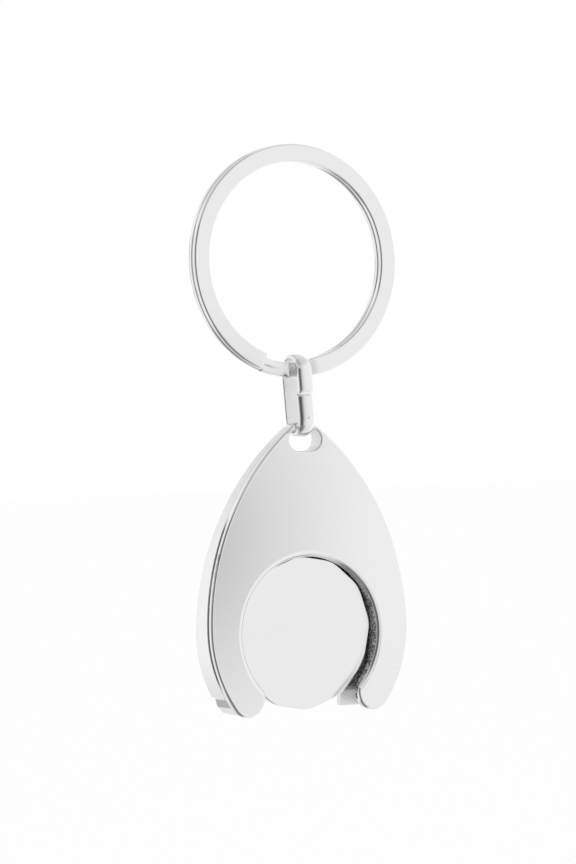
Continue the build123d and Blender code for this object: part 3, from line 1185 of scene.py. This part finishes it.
@dataclass(frozen=True)
class ConnectingLink(SweptPiece):
    """The oblong loop of half-round strip, bent from one side of its seam round to the other.

    Args:
        inner_radius: the radius of the bends, on the strip's flat side, in metres.
        reach: half of the distance between the two bends' centres.
        seam: half of the gap at the seam.
        twist: how far the strip is turned about the link's length at its two ends, in degrees.
        lean: how far the link leans back, in degrees.
        middle: the depth and the height of the link's middle.
        edge_share: the strip's thickness at its edges, as a share of that at its middle.
        end_rounding: how much thinner the strip is at its very ends, as a share.
        end_steps: the number of steps over which an end is rounded.
        inner_edge: the span of the section's height over which the inner side's mark comes in.
    """

    inner_mark = "inner_side"
    least_crown = 0.01

    inner_radius: float = 0.0
    reach: float = 0.0
    seam: float = 0.00005
    twist: Pair = (-1.5, -9.5)
    lean: float = 0.0
    middle: Pair = (0.0, 0.0)
    edge_share: float = 0.5
    end_rounding: float = 0.36
    end_steps: float = 5.0
    inner_edge: Pair = (-0.6, -0.95)

    def sizes(self) -> dict[str, float]:
        """Return the named inputs of the loop."""
        return {
            "Bend Radius": self.inner_radius,
            "Reach": self.reach,
            "Seam": self.seam,
            "Twist At Start": math.radians(self.twist[0]),
            "Twist At End": math.radians(self.twist[1]),
            "Lean": math.radians(self.lean),
            "Middle Depth": self.middle[0],
            "Middle Height": self.middle[1],
            "Edge Share": self.edge_share,
            "End Rounding": self.end_rounding,
        }

    def marks(self, tree: GeometryTree, v: Value) -> dict[str, Value]:
        """Return the mark of the strip's flat inner side, which stays duller."""
        return {self.inner_mark: (v / tree.size("Section Half Height")).ease(*self.inner_edge)}

    def point(self, tree: GeometryTree, step: Value, u: Value, v: Value) -> Value:
        """Place a point of the strip.

        Args:
            tree: the tree that sweeps the link.
            step: the step along the strip.
            u: the way across the strip.
            v: the way outwards from the middle of its thickness.

        Returns:
            The place.
        """
        size = tree.size
        share = step / self.last_step
        turn, height = self.along(tree, share)
        near = u / size("Section Half Width")
        edge = size("Edge Share")
        round_top = (1.0 - near * near * (1.0 - edge * edge)).largest(self.least_crown)
        crown = tree.math("SQRT", round_top)
        left = step.smallest(self.last_step - step)
        trim = 1.0 - left.ease(self.end_steps, 0.0) * size("End Rounding")
        stand = size("Bend Radius") + (size("Section Half Height") + v) * crown * trim
        y = tree.math("COSINE", turn) * stand * -1.0
        z = height + tree.math("SINE", turn) * stand
        twist = size("Twist At Start") + (size("Twist At End") - size("Twist At Start")) * share
        twist_cos, twist_sin = (tree.math(kind, twist) for kind in ("COSINE", "SINE"))
        turned_x = u * twist_cos - y * twist_sin
        turned_y = u * twist_sin + y * twist_cos
        lean_cos, lean_sin = (tree.math(kind, size("Lean")) for kind in ("COSINE", "SINE"))
        depth = size("Middle Depth") + turned_y * lean_cos + z * lean_sin
        up = size("Middle Height") + z * lean_cos - turned_y * lean_sin
        return tree.join(turned_x, depth, up)

    def along(self, tree: GeometryTree, share: Value) -> tuple[Value, Value]:
        """Follow the loop: half a side, a bend, a whole side, a bend and half a side.

        Args:
            tree: the tree that sweeps the link.
            share: the part of the loop that has been passed.

        Returns:
            How far the strip has turned, in radians, and the height of the bend's centre or of
            the side's point, from the link's middle.
        """
        radius, reach, seam = (tree.size(name) for name in ("Bend Radius", "Reach", "Seam"))
        bend = radius * math.pi
        first = reach - seam
        gone = share * (first * 2.0 + bend * 2.0 + reach * 2.0)
        second = first + bend
        third = second + reach * 2.0
        fourth = third + bend
        turn = (self.part(gone - first, bend) + self.part(gone - third, bend)) / radius
        risen = seam + self.part(gone, first) - self.part(gone - second, reach * 2.0)
        return turn, risen + self.part(gone - fourth, first)

    @staticmethod
    def part(gone: Value, length: Value) -> Value:
        """Return how much of one stretch of the loop has been passed."""
        return gone.largest(0.0).smallest(length)


def add_object(
    name: str, points: list[Triple], faces: list[tuple], material: bpy.types.Material
) -> bpy.types.Object:
    """Link one plain mesh to the scene.

    Args:
        name: the object's name.
        points: its points.
        faces: the numbers of each face's points.
        material: its finish.

    Returns:
        The object.
    """
    mesh = bpy.data.meshes.new(name)
    mesh.from_pydata(points, [], faces)
    mesh.materials.append(material)
    made = bpy.data.objects.new(name, mesh)
    bpy.context.scene.collection.objects.link(made)
    return made


@dataclass(frozen=True)
class Patch:
    """A soft lighter or darker place on the tent's wall.

    Args:
        turn: its middle and half width round the tent, in degrees to the right of the front.
        height: its middle and half width in height, in metres.
        gain: how much light it adds.
    """

    turn: Pair
    height: Pair
    gain: float

    def light(self, turn: Value, z: Value) -> Value:
        """Return the light that it adds at one place."""
        return turn.bell(*self.turn) * z.bell(*self.height) * self.gain


@dataclass(frozen=True)
class BackGap:
    """The dark gap between the cloths behind the object, at its left, by direction.

    Args:
        left: the span of X over which it comes in.
        near_edge: the span of Y over which it starts.
        far_edge: the span of Y over which it ends.
        slant: how much sooner it ends low down.
        slant_drop: the span of Z over which it does.
        notch_rise: the span of Z over which its notch comes in.
        notch_edge: the span of Y over which the notch starts.
        low_end: the span of Z over which the gap starts.
        high_end: the span of Z over which it ends.
        darkness: how dark it is.
    """

    left: Pair = (0.0, -0.05)
    near_edge: Pair = (0.838, 0.848)
    far_edge: Pair = (0.908, 0.9)
    slant: float = 0.03
    slant_drop: Pair = (0.0, -0.35)
    notch_rise: Pair = (-0.1, -0.05)
    notch_edge: Pair = (0.878, 0.884)
    low_end: Pair = (-0.5, -0.4)
    high_end: Pair = (0.41, 0.34)
    darkness: float = 0.86

    def share(self, x: Value, y: Value, z: Value) -> Value:
        """Work out how dark the gap is in one direction.

        Args:
            x: the direction's part to the right.
            y: its part to the back.
            z: its part upwards.

        Returns:
            The share of the light that is lost.
        """
        far = y + z.ease(*self.slant_drop) * self.slant
        strip = y.ease(*self.near_edge) * far.ease(*self.far_edge) * x.ease(*self.left)
        notch = z.ease(*self.notch_rise) * y.ease(*self.notch_edge)
        ends = z.ease(*self.low_end) * z.ease(*self.high_end)
        return strip * (1.0 - notch) * ends * self.darkness


@dataclass(frozen=True)
class Tent:
    """The round white light tent that the chrome reflects; the camera looks through it.

    Args:
        radius: the wall's radius.
        pole_radius: the radius at which the floor and the roof are closed.
        floor_height: the wall's lower edge.
        top_height: the wall's upper edge, where the white roof starts.
        segments: the number of flats round the wall.
        middle: the object's middle, from which directions are taken.
        light_scale: the light that stands for the ramp's white.
        patches: the soft lighter and darker places on the wall.
        least_above: the span of Z over which a least light comes in, steeply above.
        level_above: that least light.
        least_below: the span of Z over which a least light comes in, steeply below.
        level_below: that least light.
        roof: the span of Z over which the roof is dimmed.
        roof_share: how much of its light is lost.
        ground: the span of Z over which the tent's floor is dimmed.
        ground_left: the span of X over which its left is dimmed more.
        ground_shares: how much more is lost there, and how much everywhere.
        gap: the dark gap at the back.
    """

    radius: float = 0.36
    pole_radius: float = 0.001
    floor_height: float = -0.42
    top_height: float = 0.30
    segments: int = 96
    middle: Triple = (-0.0174, -0.0015, -0.06)
    light_scale: float = 1.2
    patches: tuple[Patch, ...] = (
        Patch((22.5, 11.0), (-0.064, 0.062), -0.42),
        Patch((38.0, 8.0), (-0.064, 0.055), 0.09),
    )
    least_above: Pair = (0.42, 0.6)
    level_above: float = 0.62
    least_below: Pair = (-0.62, -0.8)
    level_below: float = 0.55
    roof: Pair = (0.6, 0.84)
    roof_share: float = 0.25
    ground: Pair = (-0.6, -0.84)
    ground_left: Pair = (0.3, -0.1)
    ground_shares: Pair = (0.5, 0.12)
    gap: BackGap = BackGap()

    def build(self) -> bpy.types.Object:
        """Build the tent.

        Returns:
            The tent, which only mirrors see.
        """
        points, faces = [], []
        profile = [(self.pole_radius, self.floor_height), (self.radius, self.floor_height)]
        profile += [(self.radius, self.top_height), (self.pole_radius, self.top_height)]
        for radius, height in profile:
            for index in range(self.segments):
                turn = 2 * math.pi * index / self.segments
                points.append((radius * math.cos(turn), radius * math.sin(turn), height))
        for row in range(len(profile) - 1):
            low, high = row * self.segments, (row + 1) * self.segments
            for index in range(self.segments):
                after = (index + 1) % self.segments
                faces.append((low + index, high + index, high + after, low + after))
        tent = add_object("light_tent", points, faces, self.cloth())
        tent.visible_camera = False
        tent.visible_shadow = False
        tent.visible_diffuse = False
        return tent

    def cloth(self) -> bpy.types.Material:
        """Make the glowing white cloth, with the dark opening for the lens.

        Returns:
            The material.
        """
        material = bpy.data.materials.new("tent_cloth")
        material.use_nodes = True
        tree = ShaderTree(material.node_tree)
        level = self.light(tree)
        inputs = {"Color": (1.0, 1.0, 1.0, 1.0), "Strength": level}
        glow = tree.node("ShaderNodeEmission", inputs=inputs)
        tree.node("ShaderNodeOutputMaterial", inputs={"Surface": glow})
        return material

    def light(self, tree: ShaderTree) -> Value:
        """Work out the cloth's uneven light.

        Args:
            tree: the material being drawn.

        Returns:
            The strength of the glow.
        """
        x, y, z = tree.place()
        turn = tree.math("ARCTAN2", x, y * -1.0) * math.degrees(1.0)
        stops = [((angle + 180.0) / 360.0, level / self.light_scale) for angle, level in TENT_LIGHT]
        around = tree.node("ShaderNodeValToRGB", {"stops": stops}, {0: turn / 360.0 + 0.5})
        level = tree.node("ShaderNodeRGBToBW", inputs={0: around}) * self.light_scale
        for patch in self.patches:
            level = level + patch.light(turn, z)
        away = [part - centre for part, centre in zip((x, y, z), self.middle)]
        aim_x, aim_y, aim_z = tree.split(tree.vector("NORMALIZE", tree.join(*away)))
        level = level.largest(aim_z.ease(*self.least_above) * self.level_above)
        level = level.largest(aim_z.ease(*self.least_below) * self.level_below)
        level = level * (1.0 - self.gap.share(aim_x, aim_y, aim_z))
        level = level * (1.0 - aim_z.ease(*self.roof) * self.roof_share)
        at_left, everywhere = self.ground_shares
        lost = aim_x.ease(*self.ground_left) * at_left + everywhere
        return level * (1.0 - aim_z.ease(*self.ground) * lost)


@dataclass(frozen=True)
class Studio:
    """The plain pale floor, the white surroundings and the soft lamps.

    Args:
        floor_height: the floor's height.
        floor_half_size: half of the floor's width.
        floor_tint: the floor's colour.
        white_share: how much of the floor is plain white to the camera; the rest shows shadow.
        unseen_strength: the surroundings' strength as a light; to the camera it is 1.
        lamp_watts: the key lamp's power.
        fill_share: the fill lamp's power, as a share of it.
        lamp_size: the lamps' diameter.
        key_place: where the key lamp hangs.
        fill_place: where the fill lamp hangs.
        aim: what the lamps face.
    """

    floor_height: float = -0.13
    floor_half_size: float = 6.0
    floor_tint: Triple = (0.9, 0.9, 0.9)
    white_share: float = 0.975
    unseen_strength: float = 0.55
    lamp_watts: float = 1.1
    fill_share: float = 0.6
    lamp_size: float = 0.3
    key_place: Triple = (-0.45, -0.35, 0.35)
    fill_place: Triple = (0.4, -0.45, 0.2)
    aim: Triple = (0.0, 0.0, -0.04)

    def build(self) -> None:
        """Build the world, the floor, the tent and the lamps."""
        self.world()
        self.floor()
        Tent().build()
        self.lamp("key_lamp", Vector(self.key_place), self.lamp_watts)
        self.lamp("fill_lamp", Vector(self.fill_place), self.lamp_watts * self.fill_share)

    def world(self) -> None:
        """Make the surroundings white to the camera and to the metal, and softer as a light."""
        world = bpy.data.worlds.new("studio_white")
        bpy.context.scene.world = world
        world.use_nodes = True
        tree = ShaderTree(world.node_tree)
        strength = self.unseen_strength + self.seen(tree) * (1.0 - self.unseen_strength)
        inputs = {"Color": (1.0, 1.0, 1.0, 1.0), "Strength": strength}
        white = tree.node("ShaderNodeBackground", inputs=inputs)
        tree.node("ShaderNodeOutputWorld", inputs={"Surface": white})

    @staticmethod
    def seen(tree: ShaderTree) -> Value:
        """Find where the camera, or a mirror or glass, sees the surface.

        Args:
            tree: the material or world being drawn.

        Returns:
            1 where it is seen and 0 where it only gives light.
        """
        paths = tree.node("ShaderNodeLightPath").socket.node
        camera, glossy, through = (
            Value(tree, paths.outputs[name])
            for name in ("Is Camera Ray", "Is Glossy Ray", "Is Transmission Ray")
        )
        return (camera + glossy + through).smallest(1.0)

    def floor(self) -> None:
        """Lay the pale floor, white to the camera, with the object's soft shadow kept."""
        half, height = self.floor_half_size, self.floor_height
        corners = [
            (across * half, along * half, height)
            for across, along in ((-1, -1), (1, -1), (1, 1), (-1, 1))
        ]
        material = bpy.data.materials.new("pale_floor")
        material.use_nodes = True
        tree = ShaderTree(material.node_tree)
        paint = tree.node("ShaderNodeBsdfDiffuse", inputs={"Color": (*self.floor_tint, 1.0)})
        inputs = {"Color": (1.0, 1.0, 1.0, 1.0), "Strength": 1.0}
        white = tree.node("ShaderNodeEmission", inputs=inputs)
        share = self.seen(tree) * self.white_share
        mixed = tree.node("ShaderNodeMixShader", inputs={0: share, 1: paint, 2: white})
        tree.node("ShaderNodeOutputMaterial", inputs={"Surface": mixed})
        floor = add_object("studio_floor", corners, [(0, 1, 2, 3)], material)
        floor.visible_glossy = False

    def lamp(self, name: str, place: Vector, watts: float) -> None:
        """Hang one soft lamp that faces the keyring.

        Args:
            name: the lamp's name.
            place: where it hangs.
            watts: its power.
        """
        data = bpy.data.lights.new(name, "AREA")
        data.shape = "DISK"
        data.size = self.lamp_size
        data.energy = watts
        lamp = bpy.data.objects.new(name, data)
        lamp.location = place
        lamp.rotation_mode = "QUATERNION"
        lamp.rotation_quaternion = (place - Vector(self.aim)).to_track_quat("Z", "Y")
        lamp.visible_glossy = False
        bpy.context.scene.collection.objects.link(lamp)


@dataclass(frozen=True)
class Viewpoint:
    """The photograph's viewpoint: level, from the left of the front, with a long lens.

    Args:
        place: where the camera stands.
        turn: how far it is turned from looking along +Y, in degrees, to the right.
        tilt: how far it looks up, in degrees.
        roll: how far its top leans to the right, in degrees.
        lens: the focal length, in millimetres.
        sensor: the sensor's size along the picture's long side, in millimetres.
        clip: the nearest and the farthest that it sees, in metres.
    """

    place: Triple = (-0.3043786, -0.519273, -0.0427167)
    turn: float = 30.2293
    tilt: float = 0.1662
    roll: float = 1.6559
    lens: float = 165.0
    sensor: float = 36.0
    clip: Pair = (0.01, 50.0)

    def build(self) -> bpy.types.Object:
        """Create the camera and make it the scene's.

        Returns:
            The camera.
        """
        data = bpy.data.cameras.new("photo_camera")
        data.lens = self.lens
        data.sensor_width = self.sensor
        data.clip_start, data.clip_end = self.clip
        camera = bpy.data.objects.new("photo_camera", data)
        turns = ((-self.turn, "Z"), (90.0, "X"), (self.tilt, "X"), (-self.roll, "Z"))
        placed = Matrix.Translation(Vector(self.place))
        for angle, axis in turns:
            placed = placed @ Matrix.Rotation(math.radians(angle), 4, axis)
        camera.matrix_world = placed
        bpy.context.scene.collection.objects.link(camera)
        bpy.context.scene.camera = camera
        return camera


def dress(node: Node, material: bpy.types.Material) -> None:
    """Give a solid of the frame its finish.

    Args:
        node: the solid.
        material: its finish.
    """
    solid = frame["nodes"][node.value]
    solid.data.materials.clear()
    solid.data.materials.append(material)
    LOG.info("piece %s dressed in %s", node.value, material.name)


def joints() -> dict[str, dict]:
    """Return the record's joints by name."""
    return {joint["name"]: joint for joint in frame["record"]["behaviour"]["joints"]}


def build_ring() -> SplitRing:
    """Return the split ring, wound from the wire's flat section."""
    section = RoundedSection(WIRE_HALF_WIDTH, WIRE_HALF_THICKNESS, WIRE_CORNER, corner_steps=8)
    return SplitRing(Node.SPLIT_RING, Body.RING, Slot.RING, section, path_steps=684)


def build_link() -> ConnectingLink:
    """Lay out the connecting link, between the ring's and the holder's bearing points.

    Returns:
        The link, which fills its solid's box.
    """
    top, bottom = (Vector(joints()[name]["pos_m"]) for name in ("link_swing", "holder_swing"))
    low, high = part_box(Node.CONNECTING_LINK.value)
    span = top - bottom
    half_thickness = STRIP_THICKNESS / 2
    return ConnectingLink(
        Node.CONNECTING_LINK,
        Body.LINK,
        Slot.LINK,
        RoundedSection(
            STRIP_HALF_WIDTH, half_thickness, STRIP_CORNER, corner_steps=5, flat_steps=10
        ),
        path_steps=300,
        inner_radius=(high.z - low.z - span.z) / 2 - STRIP_THICKNESS,
        reach=span.length / 2,
        lean=math.degrees(math.atan2(span.y, span.z)),
        middle=((top.y + bottom.y) / 2, (top.z + bottom.z) / 2),
    )


def ring_finish() -> RingChrome:
    """Return the ring's finish, centred on its solid."""
    low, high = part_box(Node.SPLIT_RING.value)
    return RingChrome(
        "ring_plating",
        seed=1.0,
        middle_height=(low.z + high.z) / 2,
        middle_radius=(high.x - low.x) / 2 - WIRE_HALF_WIDTH,
    )


def holder_finishes() -> dict[Node, PolishedChrome]:
    """Lay out the finishes of the holder's solids and of the token.

    Returns:
        Each solid's finish.
    """
    token_low, token_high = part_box(Node.TROLLEY_TOKEN.value)
    plate_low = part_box(Node.FRONT_PLATE.value)[0]
    radius = (token_high.x - token_low.x) / 2
    middle = (token_high + token_low) / 2
    slide = joints()["token_slide"]
    channel = {"dull_radius": radius + CHANNEL_PLAY, "dull_height": middle.z}
    plate = PlateChrome("plate_polish", seed=3.0, face_depth=plate_low.y, **channel)
    body = CastChrome(
        "body_casting",
        seed=4.0,
        floor_depth=middle.y + TOKEN_TO_FLOOR,
        floor_slope=-slide["axis"][1] / slide["axis"][2],
        flats_height=plate_low.z + LEG_FLATS,
        side_reach=radius + LEG_SIDE_PLAY,
        window_radius=WINDOW_RADIUS,
        **channel,
    )
    magnet = PolishedChrome("magnet_nickel", tint=(0.72, 0.71, 0.69), roughness=0.2, seed=5.0)
    token = TokenNickel(
        "token_nickel",
        seed=6.0,
        roughness=0.09,
        middle_height=middle.z,
        dish_radius=radius - TOKEN_RIM,
    )
    return {
        Node.FRONT_PLATE: plate,
        Node.HOLDER_BODY: body,
        Node.RETAINING_MAGNET: magnet,
        Node.TROLLEY_TOKEN: token,
    }


def main() -> None:
    """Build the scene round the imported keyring."""
    logging.basicConfig(level=logging.INFO, format="%(message)s")
    for stray in [thing for thing in bpy.context.scene.objects if "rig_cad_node" not in thing]:
        if stray.type in {"MESH", "LIGHT", "CAMERA"}:
            bpy.data.objects.remove(stray)
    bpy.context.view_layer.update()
    bpy.context.scene.view_settings.view_transform = "Standard"
    Viewpoint().build()
    Studio().build()
    finishes = holder_finishes()
    build_ring().build(ring_finish().make())
    strip = StripChrome("link_plating", seed=2.0, roughness=0.035, wave_depth=0.000008)
    build_link().build(strip.make())
    for node, finish in finishes.items():
        dress(node, finish.make())


if __name__ == "__main__":
    main()
